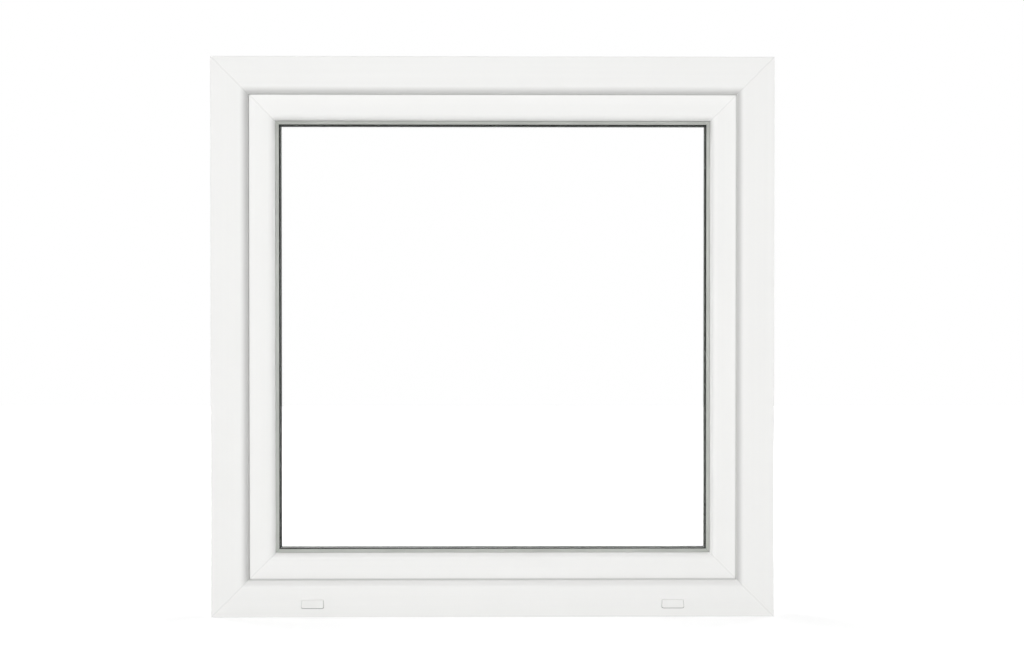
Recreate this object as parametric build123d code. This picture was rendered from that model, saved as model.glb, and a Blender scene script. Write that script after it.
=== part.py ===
from build123d import *
import math
import os

# A tilt and turn window in plastic profiles, closed, in millimetres.
# X runs across the window, Y from outdoors (-Y) into the room (+Y) and Z up.
# The origin is on the frame's underside, at the middle of its width and of its depth.
#
# Every profile is drawn in a section of its own: "inset" is the distance from the window's
# outer edge towards its middle, and "depth" the distance from the frame's outdoor face into
# the room. One section serves all four sides, which differ only in length and place.

# Overall size
WINDOW_WIDTH = 1000
WINDOW_HEIGHT = 995

# Frame profile
FRAME_FACE = 65.5          # width of the frame seen from outdoors
FRAME_DEPTH = 70           # outdoor face to indoor face
REBATE_HEIGHT = 19         # how far the outdoor lip stands up past the rebate
LIP_THICKNESS = 10
LIP_BEVEL_WIDTH = 6.5      # sloped inner edge of the lip, before rounding
LIP_BEVEL_DEPTH = 8.5
LIP_BEVEL_RADIUS = 16
LIP_NOSE_RADIUS = 2.5
PROFILE_EDGE = 0.8         # rounding of the frame's outer corners
OUTER_WALL = 3.0
WEB = 1.4                  # thickness of the webs between chambers
FRAME_WEBS = (11.0, 20.5)  # webs, measured in from the outdoor face and again from the indoor one
CLIP_GROOVE_WIDTH = 8      # grooves in the back that accessory profiles clip into
CLIP_GROOVE_HEIGHT = 3.5
CLIP_GROOVE_FROM_FACE = 16
CLIP_LIP = 1.0

# Sash profile
SASH_LAP = 8               # how far the indoor flange laps the frame
AIR_GAP = 12               # space for the locking gear between frame and sash
FLANGE_THICKNESS = 10
SASH_BASE = 39             # height of the sash's chambered body under the glass
LEG_HEIGHT = 14            # outdoor leg that the glass is pressed against
LEG_THICKNESS = 13
LEG_BEVEL_WIDTH = 5.5
LEG_BEVEL_DEPTH = 7
LEG_BEVEL_RADIUS = 12
LEG_NOSE_RADIUS = 1.5
LEG_DRAFT = 0.5            # lean of the leg's short edge towards the glass
FLANGE_RADIUS = 4
SASH_WEBS_OUTDOORS = (11.0, 21.0)
SASH_WEBS_INDOORS = (10.5, 28.5)
GEAR_GROOVE_WIDTH = 12
GEAR_GROOVE_HEIGHT = 9
GEAR_RECESS_WIDTH = 16
GEAR_RECESS_HEIGHT = 3
GEAR_GROOVE_FROM_FLANGE = 13

# Glass unit, seals and beads
PANE = 4
CAVITY = 16
GLASS_EDGE_GAP = 6         # setting blocks' height, from the rebate to the glass
SEALANT = 7
SEALANT_SETBACK = 0.5
SPACER_BAR = 8.5
SPACER_CHAMFER = 0.9
SEAL_GAP = 3               # pressed thickness of every seal
SEAL_GROOVE_WIDTH = 3.0
SEAL_GROOVE_HEIGHT = 3.2
SEAL_WALL = 1.6            # plastic left round a seal groove
SEAL_FOOT_CLEARANCE = 0.2
SEAL_WIDTH = 5.5
SEAL_RADIUS = 1.2
SEAL_SETBACK = 2.0         # from the edge of the profile that carries the seal
GLAZING_LIP = 5.3          # how far the glazing seal shows past the outdoor leg
GLAZING_LIP_START = 3.5    # how far outdoors the lip begins, from the leg's glass side
GLAZING_LIP_EDGE = 1.0
GLAZING_SEAL_WIDTH = 8
BEAD_HEIGHT = 18
BEAD_TOP_WIDTH = 3.5
BEAD_TIP_DEPTH = 6
BEAD_TIP_RADIUS = 4
BEAD_TOP_RADIUS = 5
BEAD_WALL = 1.5
BEAD_CLEARANCE = 0.2
BEAD_FOOT_OFFSET = 3.3     # from the bead's glass side to its foot
BEAD_FOOT_THICKNESS = 2.4
BEAD_FOOT_HEIGHT = 4
BEAD_SEAL_WIDTH = 8
BEAD_SEAL_LIP = 1.5
BEAD_SEAL_EDGE = 0.8

# Welded corners
WELD_GROOVE_WIDTH = 2.4
WELD_GROOVE_DEPTH = 0.25
WELD_GROOVE_PROUD = 0.5    # how far the cutter stands out of the face, as a share of the depth

# Drain slots and their caps
DRAIN_FROM_EDGE = 180
DRAIN_CAP_BOTTOM = 15.8    # above the frame's underside
DRAIN_CAP_HEIGHT = 15.6
DRAIN_CAP_WIDTH = 40.5
DRAIN_CAP_TOP_WIDTH = 39
DRAIN_CAP_TOP_DEPTH = 1.6  # the cap slopes out from its top to its open bottom
DRAIN_CAP_BOTTOM_DEPTH = 4.4
DRAIN_CAP_WALL = 1.2
DRAIN_CAP_EDGE = 1.1       # bevel all round the cap's front
DRAIN_CAP_RADIUS = 3       # lower corners, twice the upper ones
DRAIN_SLOT_LENGTH = 28
DRAIN_SLOT_HEIGHT = 5
DRAIN_TONGUE_LENGTH = 7
DRAIN_TONGUE_WIDTH = 2
DRAIN_TONGUE_HEIGHT = 3.6

# Fixing holes through the two jambs
FIXING_HOLE = 6.2
FIXING_FROM_CORNER = 150

# Handle
HANDLE_BACKSET = 15        # spindle from the sash's rebate edge
ROSETTE_WIDTH = 30
ROSETTE_HEIGHT = 68
ROSETTE_THICKNESS = 9
ROSETTE_RADIUS = 9
ROSETTE_EDGE = 2            # bevel round the plate's front
COLLAR_DIAMETER = 24       # ring round the neck, on the rosette
COLLAR_THICKNESS = 1.6
NECK_DIAMETER = 19
NECK_LENGTH = 27
LEVER_LENGTH = 118         # from the spindle to the lever's end
LEVER_TOP = 11
LEVER_WIDTH = 20
LEVER_END_WIDTH = 17
LEVER_THICKNESS = 12
LEVER_END_THICKNESS = 9
LEVER_TOP_RADIUS = 9       # corners of the lever seen from the room
LEVER_END_RADIUS = 7
LEVER_EDGE = 3             # rounding of the lever's room side
LEVER_BACK_EDGE = 1.5      # bevel of its other side

# Hinges
HINGE_SINK = 1             # how far the pin's line lies behind the sash's indoor face
KNUCKLE_RADIUS = 7
KNUCKLE_GAP = 0.4
KNUCKLE_CLEARANCE = 0.5    # between a knuckle and the sash's flange
PIN_RADIUS = 3
PIN_CLEARANCE = 0.2
LEAF_THICKNESS = 3.5
LEAF_RADIUS = 2.5
LEAF_SETBACK = 4           # from each end of the knuckle to the leaf
PIN_HEAD_RADIUS = 5
PIN_HEAD_HEIGHT = 1.6
PIN_START = 6              # above the lower bearing's lower end
BEARING_PLATE = 25.5
BEARING_RADIUS = 3
BEARING_CLEARANCE = 1.5    # between the plate and the sash's flange
LOWER_BEARING_DROP = 16.5  # lower bearing's ends, below and above the sash's lower edge
LOWER_BEARING_RISE = 13.5
LOWER_BAND_LENGTH = 56
LOWER_BAND_LEAF = 27
STAY_FROM_TOP = 9.5        # top end of the stay bearing from the sash's upper edge
STAY_KNUCKLES = (18, 30, 18)
STAY_LEAF = 20

# Sizes that follow from the ones above
REBATE_INSET = FRAME_FACE - REBATE_HEIGHT
SASH_FACE_DEPTH = LIP_THICKNESS + SEAL_GAP
FLANGE_DEPTH = FRAME_DEPTH + SEAL_GAP
SASH_ROOM_DEPTH = FLANGE_DEPTH + FLANGE_THICKNESS
SASH_INSET = REBATE_INSET + AIR_GAP
FLANGE_INSET = REBATE_INSET - SASH_LAP
HINGE_INSET = FLANGE_INSET - KNUCKLE_CLEARANCE - KNUCKLE_RADIUS
HINGE_DEPTH = SASH_ROOM_DEPTH - HINGE_SINK
GLASS_REBATE = SASH_INSET + SASH_BASE
LEG_INSET = GLASS_REBATE + LEG_HEIGHT
LEG_DEPTH = SASH_FACE_DEPTH + LEG_THICKNESS
GLASS_INSET = GLASS_REBATE + GLASS_EDGE_GAP
GLASS_DEPTH = LEG_DEPTH + SEAL_GAP
SPACER_DEPTH = GLASS_DEPTH + PANE
INNER_PANE_DEPTH = SPACER_DEPTH + CAVITY
GLASS_ROOM_DEPTH = INNER_PANE_DEPTH + PANE
BEAD_DEPTH = GLASS_ROOM_DEPTH + SEAL_GAP
SPACER_INSET = GLASS_INSET + SEALANT + SPACER_BAR
BEAD_TIP = GLASS_REBATE + BEAD_HEIGHT

SIDE_LENGTH = {
    "sill": WINDOW_WIDTH,
    "head": WINDOW_WIDTH,
    "left": WINDOW_HEIGHT,
    "right": WINDOW_HEIGHT,
}
OUTDOOR_Y = -FRAME_DEPTH / 2
SIDE_PLANE = {
    "sill": Plane((0, OUTDOOR_Y, 0), x_dir=(0, 0, 1), z_dir=(-1, 0, 0)),
    "head": Plane((0, OUTDOOR_Y, WINDOW_HEIGHT), x_dir=(0, 0, -1), z_dir=(1, 0, 0)),
    "left": Plane((-WINDOW_WIDTH / 2, OUTDOOR_Y, WINDOW_HEIGHT / 2), x_dir=(1, 0, 0), z_dir=(0, 0, 1)),
    "right": Plane((WINDOW_WIDTH / 2, OUTDOOR_Y, WINDOW_HEIGHT / 2), x_dir=(-1, 0, 0), z_dir=(0, 0, -1)),
}
HINGE_HAND = 1             # hinges on +X, the handle on the other stile
HANDLE_HAND = -1

PARTS = {}


def keep(name, shape):
    """Files a finished piece under its name."""
    PARTS[name] = shape


def outline(*corners):
    """A closed section from corners given as inset, depth and rounding radius."""
    points = [(inset, depth) for inset, depth, radius in corners]
    radii = [radius for inset, depth, radius in corners]
    return make_face(FilletPolyline(*points, radius=radii, close=True))


def block(inset_from, inset_to, depth_from, depth_to):
    """A rectangle of a section, between two insets and two depths."""
    corner = Pos((inset_from + inset_to) / 2, (depth_from + depth_to) / 2)
    return corner * Rectangle(inset_to - inset_from, depth_to - depth_from)


def mitre_wedge(section, length):
    """The space that a side's profile may fill, between its two 45 degree ends."""
    box = section.bounding_box()
    near = box.min.X - 1
    far = box.max.X + 1
    corners = [
        (near, length / 2 - near),
        (far, length / 2 - far),
        (far, far - length / 2),
        (near, near - length / 2),
    ]
    face = Plane.XZ * make_face(Polyline(*corners, close=True))
    return extrude(face, amount=2 * SASH_ROOM_DEPTH, both=True)


def weld_groove(length, depth, into):
    """A V groove along one mitre, in the face at this depth; into is the way to the plastic."""
    start = Plane((0, depth, length / 2), x_dir=(1, 0, 1), z_dir=(1, 0, -1))
    half = WELD_GROOVE_WIDTH / 2 * (1 + WELD_GROOVE_PROUD)
    top = WELD_GROOVE_DEPTH * WELD_GROOVE_PROUD * into
    tip = -WELD_GROOVE_DEPTH * into
    triangle = make_face(Polyline((-half, top), (half, top), (0, tip), close=True))
    return extrude(start * triangle, amount=BEAD_TIP * math.sqrt(2))


def side_profile(section, side, welded_faces=()):
    """One side's length of a profile, mitred, in its place on the window."""
    length = SIDE_LENGTH[side]
    bar = extrude(section, amount=length / 2, both=True)
    bar = bar & mitre_wedge(section, length)
    for depth, into in welded_faces:
        groove = weld_groove(length, depth, into)
        bar = bar - groove - mirror(groove, about=Plane.XY)
    return SIDE_PLANE[side].location * bar


def seal_groove(inset, depth, into):
    """The groove for a seal's foot, cut from the face at this depth."""
    far = depth + into * SEAL_GROOVE_HEIGHT
    half = SEAL_GROOVE_WIDTH / 2
    return block(inset - half, inset + half, min(depth, far), max(depth, far))


def seal_groove_wall(inset, depth, into):
    """The plastic round a seal groove."""
    far = depth + into * (SEAL_GROOVE_HEIGHT + SEAL_WALL)
    half = SEAL_GROOVE_WIDTH / 2 + SEAL_WALL
    return block(inset - half, inset + half, min(depth, far), max(depth, far))


def seal_foot(inset, depth, into):
    """The foot of a seal, clear of its groove all round."""
    far = depth + into * (SEAL_GROOVE_HEIGHT - SEAL_FOOT_CLEARANCE)
    half = SEAL_GROOVE_WIDTH / 2 - SEAL_FOOT_CLEARANCE
    return block(inset - half, inset + half, min(depth, far), max(depth, far))


def chambered(shell, webs):
    """A hollow section: an even outer wall, and webs that part it into chambers."""
    hollow = offset(shell, amount=-OUTER_WALL, kind=Kind.INTERSECTION)
    for web in webs:
        hollow = hollow - web
    return shell - hollow


FRAME_SEAL_INSET = FRAME_FACE - SEAL_SETBACK - SEAL_WIDTH / 2
SASH_SEAL_INSET = FLANGE_INSET + SEAL_SETBACK + SEAL_WIDTH / 2
GLAZING_SEAL_INSET = LEG_INSET - GLAZING_SEAL_WIDTH / 2
BEAD_FOOT_DEPTH = BEAD_DEPTH + BEAD_FOOT_OFFSET


def clip_groove(depth):
    """A groove in the frame's back, narrower at its mouth."""
    half = CLIP_GROOVE_WIDTH / 2
    mouth = block(0, CLIP_LIP, depth - half + CLIP_LIP, depth + half - CLIP_LIP)
    return mouth + block(CLIP_LIP, CLIP_GROOVE_HEIGHT, depth - half, depth + half)


def frame_section():
    """The frame: an L with a rounded lip outdoors and chambers behind it."""
    shell = outline(
        (0, 0, PROFILE_EDGE),
        (FRAME_FACE - LIP_BEVEL_WIDTH, 0, LIP_BEVEL_RADIUS),
        (FRAME_FACE, LIP_BEVEL_DEPTH, LIP_NOSE_RADIUS),
        (FRAME_FACE, LIP_THICKNESS, 0),
        (REBATE_INSET, LIP_THICKNESS, 0),
        (REBATE_INSET, FRAME_DEPTH, 0),
        (0, FRAME_DEPTH, PROFILE_EDGE),
    )
    webs = [seal_groove_wall(FRAME_SEAL_INSET, LIP_THICKNESS, -1)]
    for depth in (CLIP_GROOVE_FROM_FACE, FRAME_DEPTH - CLIP_GROOVE_FROM_FACE):
        shell = shell - clip_groove(depth)
    for depth in FRAME_WEBS:
        webs.append(block(0, FRAME_FACE, depth, depth + WEB))
        webs.append(block(0, FRAME_FACE, FRAME_DEPTH - depth - WEB, FRAME_DEPTH - depth))
    webs.append(block(REBATE_INSET + OUTER_WALL, REBATE_INSET + OUTER_WALL + WEB, 0, LIP_THICKNESS))
    hollow = chambered(shell, webs)
    return hollow - seal_groove(FRAME_SEAL_INSET, LIP_THICKNESS, -1)


def sash_section():
    """The sash: a flange that laps the frame indoors and a leg that carries the glass outdoors."""
    shell = outline(
        (SASH_INSET, SASH_FACE_DEPTH, 0),
        (LEG_INSET - LEG_BEVEL_WIDTH, SASH_FACE_DEPTH, LEG_BEVEL_RADIUS),
        (LEG_INSET - LEG_DRAFT, SASH_FACE_DEPTH + LEG_BEVEL_DEPTH, LEG_NOSE_RADIUS),
        (LEG_INSET, LEG_DEPTH, 0),
        (GLASS_REBATE, LEG_DEPTH, 0),
        (GLASS_REBATE, SASH_ROOM_DEPTH, 0),
        (FLANGE_INSET, SASH_ROOM_DEPTH, FLANGE_RADIUS),
        (FLANGE_INSET, FLANGE_DEPTH, 0),
        (SASH_INSET, FLANGE_DEPTH, 0),
    )
    gear = FLANGE_DEPTH - GEAR_GROOVE_FROM_FLANGE
    shell = shell - block(
        SASH_INSET, SASH_INSET + GEAR_RECESS_HEIGHT, gear - GEAR_RECESS_WIDTH / 2, gear + GEAR_RECESS_WIDTH / 2
    )
    shell = shell - block(
        SASH_INSET, SASH_INSET + GEAR_GROOVE_HEIGHT, gear - GEAR_GROOVE_WIDTH / 2, gear + GEAR_GROOVE_WIDTH / 2
    )
    bead_groove = block(
        GLASS_REBATE - BEAD_FOOT_HEIGHT - 2 * BEAD_CLEARANCE,
        GLASS_REBATE,
        BEAD_FOOT_DEPTH - BEAD_CLEARANCE,
        BEAD_FOOT_DEPTH + BEAD_FOOT_THICKNESS + BEAD_CLEARANCE,
    )
    webs = [
        seal_groove_wall(SASH_SEAL_INSET, FLANGE_DEPTH, 1),
        seal_groove_wall(GLAZING_SEAL_INSET, LEG_DEPTH, -1),
        block(
            GLASS_REBATE - BEAD_FOOT_HEIGHT - 2 * BEAD_CLEARANCE - SEAL_WALL,
            GLASS_REBATE,
            BEAD_FOOT_DEPTH - BEAD_CLEARANCE - SEAL_WALL,
            BEAD_FOOT_DEPTH + BEAD_FOOT_THICKNESS + BEAD_CLEARANCE + SEAL_WALL,
        ),
    ]
    for depth in SASH_WEBS_OUTDOORS:
        webs.append(block(0, BEAD_TIP, SASH_FACE_DEPTH + depth, SASH_FACE_DEPTH + depth + WEB))
    for depth in SASH_WEBS_INDOORS:
        webs.append(block(0, BEAD_TIP, SASH_ROOM_DEPTH - depth - WEB, SASH_ROOM_DEPTH - depth))
    hollow = chambered(shell, webs) - bead_groove
    hollow = hollow - seal_groove(SASH_SEAL_INSET, FLANGE_DEPTH, 1)
    return hollow - seal_groove(GLAZING_SEAL_INSET, LEG_DEPTH, -1)


def frame_seal_section():
    """The seal on the outdoor lip, pressed on the sash."""
    half = SEAL_WIDTH / 2
    body = outline(
        (FRAME_SEAL_INSET - half, LIP_THICKNESS, 0),
        (FRAME_SEAL_INSET + half, LIP_THICKNESS, 0),
        (FRAME_SEAL_INSET + half, SASH_FACE_DEPTH, SEAL_RADIUS),
        (FRAME_SEAL_INSET - half, SASH_FACE_DEPTH, 0),
    )
    return body + seal_foot(FRAME_SEAL_INSET, LIP_THICKNESS, -1)


def sash_seal_section():
    """The seal in the sash's flange, pressed on the frame's indoor face."""
    half = SEAL_WIDTH / 2
    body = outline(
        (SASH_SEAL_INSET - half, FRAME_DEPTH, SEAL_RADIUS),
        (SASH_SEAL_INSET + half, FRAME_DEPTH, 0),
        (SASH_SEAL_INSET + half, FLANGE_DEPTH, 0),
        (SASH_SEAL_INSET - half, FLANGE_DEPTH, 0),
    )
    return body + seal_foot(SASH_SEAL_INSET, FLANGE_DEPTH, 1)


def glazing_seal_section():
    """The seal between the outdoor leg and the glass, with the sloped lip that shows."""
    lip = LEG_INSET + SEAL_FOOT_CLEARANCE
    body = outline(
        (LEG_INSET - GLAZING_SEAL_WIDTH, LEG_DEPTH, 0),
        (lip, LEG_DEPTH, 0),
        (lip, LEG_DEPTH - GLAZING_LIP_START, 0),
        (LEG_INSET + GLAZING_LIP, GLASS_DEPTH - GLAZING_LIP_EDGE, GLAZING_LIP_EDGE / 2),
        (LEG_INSET + GLAZING_LIP, GLASS_DEPTH, 0),
        (LEG_INSET - GLAZING_SEAL_WIDTH, GLASS_DEPTH, 0),
    )
    return body + seal_foot(GLAZING_SEAL_INSET, LEG_DEPTH, -1)


def spacer_section():
    """The spacer bar between the panes, with the sealant behind it."""
    bar_base = GLASS_INSET + SEALANT
    sealant = block(GLASS_INSET + SEALANT_SETBACK, bar_base, SPACER_DEPTH, INNER_PANE_DEPTH)
    bar = outline(
        (bar_base, SPACER_DEPTH, 0),
        (SPACER_INSET - SPACER_CHAMFER, SPACER_DEPTH, 0),
        (SPACER_INSET, SPACER_DEPTH + SPACER_CHAMFER, 0),
        (SPACER_INSET, INNER_PANE_DEPTH - SPACER_CHAMFER, 0),
        (SPACER_INSET - SPACER_CHAMFER, INNER_PANE_DEPTH, 0),
        (bar_base, INNER_PANE_DEPTH, 0),
    )
    return sealant + bar


def bead_section():
    """The glazing bead: hollow, sloped towards the glass, with a foot that clips in."""
    base = GLASS_REBATE + BEAD_CLEARANCE
    shell = outline(
        (base, BEAD_DEPTH, 0),
        (BEAD_TIP, BEAD_DEPTH, 0),
        (BEAD_TIP, BEAD_DEPTH + BEAD_TIP_DEPTH, BEAD_TIP_RADIUS),
        (base + BEAD_TOP_WIDTH, SASH_ROOM_DEPTH, BEAD_TOP_RADIUS),
        (base, SASH_ROOM_DEPTH, 0),
    )
    hollow = offset(shell, amount=-BEAD_WALL, kind=Kind.INTERSECTION)
    web = block(base, BEAD_TIP, BEAD_FOOT_DEPTH + BEAD_FOOT_THICKNESS, BEAD_FOOT_DEPTH + BEAD_FOOT_THICKNESS + WEB)
    foot = block(
        GLASS_REBATE - BEAD_FOOT_HEIGHT, base + BEAD_WALL / 2, BEAD_FOOT_DEPTH, BEAD_FOOT_DEPTH + BEAD_FOOT_THICKNESS
    )
    return shell - (hollow - web) + foot


def bead_seal_section():
    """The seal between bead and glass, with its narrow edge that shows indoors."""
    return outline(
        (BEAD_TIP - BEAD_SEAL_WIDTH, GLASS_ROOM_DEPTH, 0),
        (BEAD_TIP + BEAD_SEAL_LIP, GLASS_ROOM_DEPTH, 0),
        (BEAD_TIP + BEAD_SEAL_LIP, GLASS_ROOM_DEPTH + BEAD_SEAL_EDGE, BEAD_SEAL_EDGE / 2),
        (BEAD_TIP, BEAD_DEPTH, 0),
        (BEAD_TIP - BEAD_SEAL_WIDTH, BEAD_DEPTH, 0),
    )


def glass_pane(depth):
    """One sheet of the sealed unit, its outdoor face at this depth."""
    width = WINDOW_WIDTH - 2 * GLASS_INSET
    height = WINDOW_HEIGHT - 2 * GLASS_INSET
    return Pos(0, OUTDOOR_Y + depth + PANE / 2, WINDOW_HEIGHT / 2) * Box(width, PANE, height)


def spot(hand, inset, depth, height):
    """A point on one side of the window: hand is +1 for +X and -1 for -X."""
    return Pos(hand * (WINDOW_WIDTH / 2 - inset), OUTDOOR_Y + depth, height)


def drain_place(hand):
    """The middle of a drain cap on the frame's outdoor face."""
    return spot(hand, DRAIN_FROM_EDGE, 0, DRAIN_CAP_BOTTOM + DRAIN_CAP_HEIGHT / 2)


def drain_slot(hand):
    """A slot with round ends through the frame's outdoor wall."""
    slot = Plane.XZ * SlotOverall(DRAIN_SLOT_LENGTH, DRAIN_SLOT_HEIGHT)
    return drain_place(hand) * extrude(slot, amount=OUTER_WALL + 1, both=True)


def cap_wedge(shrink):
    """The wedge of a drain cap, smaller all round by the shrink except at its bottom."""
    foot = -DRAIN_CAP_HEIGHT / 2
    top = DRAIN_CAP_HEIGHT / 2 - shrink
    low = DRAIN_CAP_WIDTH / 2 - shrink
    high = DRAIN_CAP_TOP_WIDTH / 2 - shrink
    front = make_face(
        FilletPolyline(
            (-low, foot),
            (low, foot),
            (high, top),
            (-high, top),
            radius=(DRAIN_CAP_RADIUS, DRAIN_CAP_RADIUS, DRAIN_CAP_RADIUS / 2, DRAIN_CAP_RADIUS / 2),
            close=True,
        )
    )
    corners = [
        (0, foot),
        (shrink - DRAIN_CAP_BOTTOM_DEPTH, foot),
        (shrink - DRAIN_CAP_TOP_DEPTH, top),
        (0, top),
    ]
    side = make_face(Polyline(*corners, close=True))
    across = extrude(Plane.YZ * side, amount=DRAIN_CAP_WIDTH, both=True)
    return across & extrude(Plane.XZ * front, amount=2 * DRAIN_CAP_BOTTOM_DEPTH, both=True)


def drain_cap(hand):
    """A hood over a drain slot, open at the bottom, on two tongues."""
    hood = cap_wedge(0)
    front = hood.faces().sort_by(Axis.Y)[0]
    hood = chamfer(front.edges(), DRAIN_CAP_EDGE) - cap_wedge(DRAIN_CAP_WALL)
    for way in (-1, 1):
        tongue = Box(
            DRAIN_TONGUE_WIDTH,
            DRAIN_TONGUE_LENGTH + DRAIN_CAP_TOP_DEPTH,
            DRAIN_TONGUE_HEIGHT,
            align=(Align.CENTER, Align.MIN, Align.CENTER),
        )
        hood = hood + Pos(way * DRAIN_SLOT_LENGTH / 3, -DRAIN_CAP_TOP_DEPTH, 0) * tongue
    return drain_place(hand) * hood


def fixing_holes(hand):
    """The two holes that a jamb is screwed to the wall through."""
    holes = []
    for height in (FIXING_FROM_CORNER, WINDOW_HEIGHT - FIXING_FROM_CORNER):
        place = spot(hand, REBATE_INSET / 2, FRAME_DEPTH / 2, height)
        holes.append(place * Rot(0, 90, 0) * Cylinder(FIXING_HOLE / 2, REBATE_INSET + 2))
    return holes


def handle_place():
    """The spindle's point on the sash's indoor face."""
    return spot(HANDLE_HAND, SASH_INSET + HANDLE_BACKSET, SASH_ROOM_DEPTH, WINDOW_HEIGHT / 2)


def handle_rosette():
    """The handle's base plate."""
    plate = extrude(Plane.XZ * RectangleRounded(ROSETTE_WIDTH, ROSETTE_HEIGHT, ROSETTE_RADIUS), amount=-ROSETTE_THICKNESS)
    face = plate.faces().sort_by(Axis.Y)[-1]
    plate = chamfer(face.edges(), ROSETTE_EDGE)
    top = Plane((0, ROSETTE_THICKNESS, 0), x_dir=(1, 0, 0), z_dir=(0, 1, 0))
    collar = extrude(top * Circle(COLLAR_DIAMETER / 2), amount=COLLAR_THICKNESS)
    return handle_place() * (plate + collar)


def handle_lever():
    """The neck and the lever, which points down when the window is locked."""
    base = ROSETTE_THICKNESS + COLLAR_THICKNESS
    near = ROSETTE_THICKNESS + NECK_LENGTH
    far = near + LEVER_THICKNESS
    slimming = (LEVER_THICKNESS - LEVER_END_THICKNESS) / 2
    corners = [
        (near, LEVER_TOP),
        (far, LEVER_TOP),
        (far - slimming, -LEVER_LENGTH),
        (near + slimming, -LEVER_LENGTH),
    ]
    side = make_face(Polyline(*corners, close=True))
    front = make_face(
        FilletPolyline(
            (-LEVER_WIDTH / 2, LEVER_TOP),
            (LEVER_WIDTH / 2, LEVER_TOP),
            (LEVER_END_WIDTH / 2, -LEVER_LENGTH),
            (-LEVER_END_WIDTH / 2, -LEVER_LENGTH),
            radius=(LEVER_TOP_RADIUS, LEVER_TOP_RADIUS, LEVER_END_RADIUS, LEVER_END_RADIUS),
            close=True,
        )
    )
    body = extrude(Plane.YZ * side, amount=LEVER_WIDTH, both=True)
    body = body & extrude(Plane.XZ * front, amount=2 * far, both=True)
    front_face = body.faces().sort_by(Axis.Y)[-1]
    body = fillet(front_face.edges(), LEVER_EDGE)
    back_face = body.faces().sort_by(Axis.Y)[0]
    body = chamfer(back_face.edges(), LEVER_BACK_EDGE)
    start = Plane((0, base, 0), x_dir=(1, 0, 0), z_dir=(0, 1, 0))
    neck = extrude(start * Circle(NECK_DIAMETER / 2), amount=near + LEVER_THICKNESS / 2 - base)
    return handle_place() * (body + neck)


def knuckle(low, high):
    """A hinge barrel round the pin's line between two heights, bored for the pin."""
    barrel = Cylinder(KNUCKLE_RADIUS, high - low, align=(Align.CENTER, Align.CENTER, Align.MIN))
    bore = Cylinder(PIN_RADIUS + PIN_CLEARANCE, high - low, align=(Align.CENTER, Align.CENTER, Align.MIN))
    return hinge_line(low) * barrel, hinge_line(low) * bore


def hinge_line(height):
    """A point on the pin's line."""
    return spot(HINGE_HAND, HINGE_INSET, HINGE_DEPTH, height)


def bearing(low, high, knuckles):
    """The hinge half on the frame: a plate, a web and its knuckles."""
    plate = extrude(
        Plane.XZ * RectangleRounded(BEARING_PLATE, high - low, BEARING_RADIUS), amount=-LEAF_THICKNESS
    )
    inset = FLANGE_INSET - BEARING_CLEARANCE - BEARING_PLATE / 2
    shape = spot(HINGE_HAND, inset, FRAME_DEPTH, (low + high) / 2) * plate
    for bottom, top in knuckles:
        barrel, bore = knuckle(bottom, top)
        web = Box(
            2 * KNUCKLE_RADIUS,
            HINGE_DEPTH - FRAME_DEPTH,
            top - bottom,
            align=(Align.CENTER, Align.MIN, Align.MIN),
        )
        shape = shape + spot(HINGE_HAND, HINGE_INSET, FRAME_DEPTH, bottom) * web
        shape = shape + barrel - bore
    return shape


def band(low, high, leaf_width):
    """The hinge half on the sash: a knuckle and a leaf on the flange's indoor face."""
    barrel, bore = knuckle(low, high)
    reach = leaf_width + FLANGE_INSET - HINGE_INSET
    height = high - low - 2 * LEAF_SETBACK
    leaf = extrude(Plane.XZ * RectangleRounded(reach, height, LEAF_RADIUS), amount=-LEAF_THICKNESS)
    place = spot(HINGE_HAND, HINGE_INSET + reach / 2, SASH_ROOM_DEPTH, (low + high) / 2)
    return place * leaf + barrel - bore


def hinge_pin(low, high):
    """A hinge pin with a small head on top."""
    align = (Align.CENTER, Align.CENTER, Align.MIN)
    pin = Cylinder(PIN_RADIUS, high - low, align=align)
    head = Pos(0, 0, high - low) * Cylinder(PIN_HEAD_RADIUS, PIN_HEAD_HEIGHT, align=align)
    return hinge_line(low) * (pin + head)


def make_profiles():
    """Everything that runs round the window, four lengths of each."""
    frame_faces = ((0, 1), (FRAME_DEPTH, -1))
    sash_faces = ((SASH_FACE_DEPTH, 1), (SASH_ROOM_DEPTH, -1))
    frame_names = {"sill": "frame_sill", "head": "frame_head", "left": "frame_jamb_left", "right": "frame_jamb_right"}
    sash_names = {
        "sill": "sash_bottom_rail", "head": "sash_top_rail", "left": "sash_stile_left", "right": "sash_stile_right"
    }
    frame = frame_section()
    sash = sash_section()
    for side in SIDE_LENGTH:
        keep(frame_names[side], side_profile(frame, side, frame_faces))
        keep(sash_names[side], side_profile(sash, side, sash_faces))
    loops = {
        "frame_seal": frame_seal_section(),
        "sash_seal": sash_seal_section(),
        "glazing_seal": glazing_seal_section(),
        "glass_spacer": spacer_section(),
        "glazing_bead": bead_section(),
        "bead_seal": bead_seal_section(),
    }
    ends = {"sill": "bottom", "head": "top", "left": "left", "right": "right"}
    for name, section in loops.items():
        for side, end in ends.items():
            keep(f"{name}_{end}", side_profile(section, side))


def make_openings():
    """Drain slots in the sill, fixing holes in the jambs."""
    for hand, jamb in ((-1, "frame_jamb_left"), (1, "frame_jamb_right")):
        PARTS["frame_sill"] = PARTS["frame_sill"] - drain_slot(hand)
        for hole in fixing_holes(hand):
            PARTS[jamb] = PARTS[jamb] - hole


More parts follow.
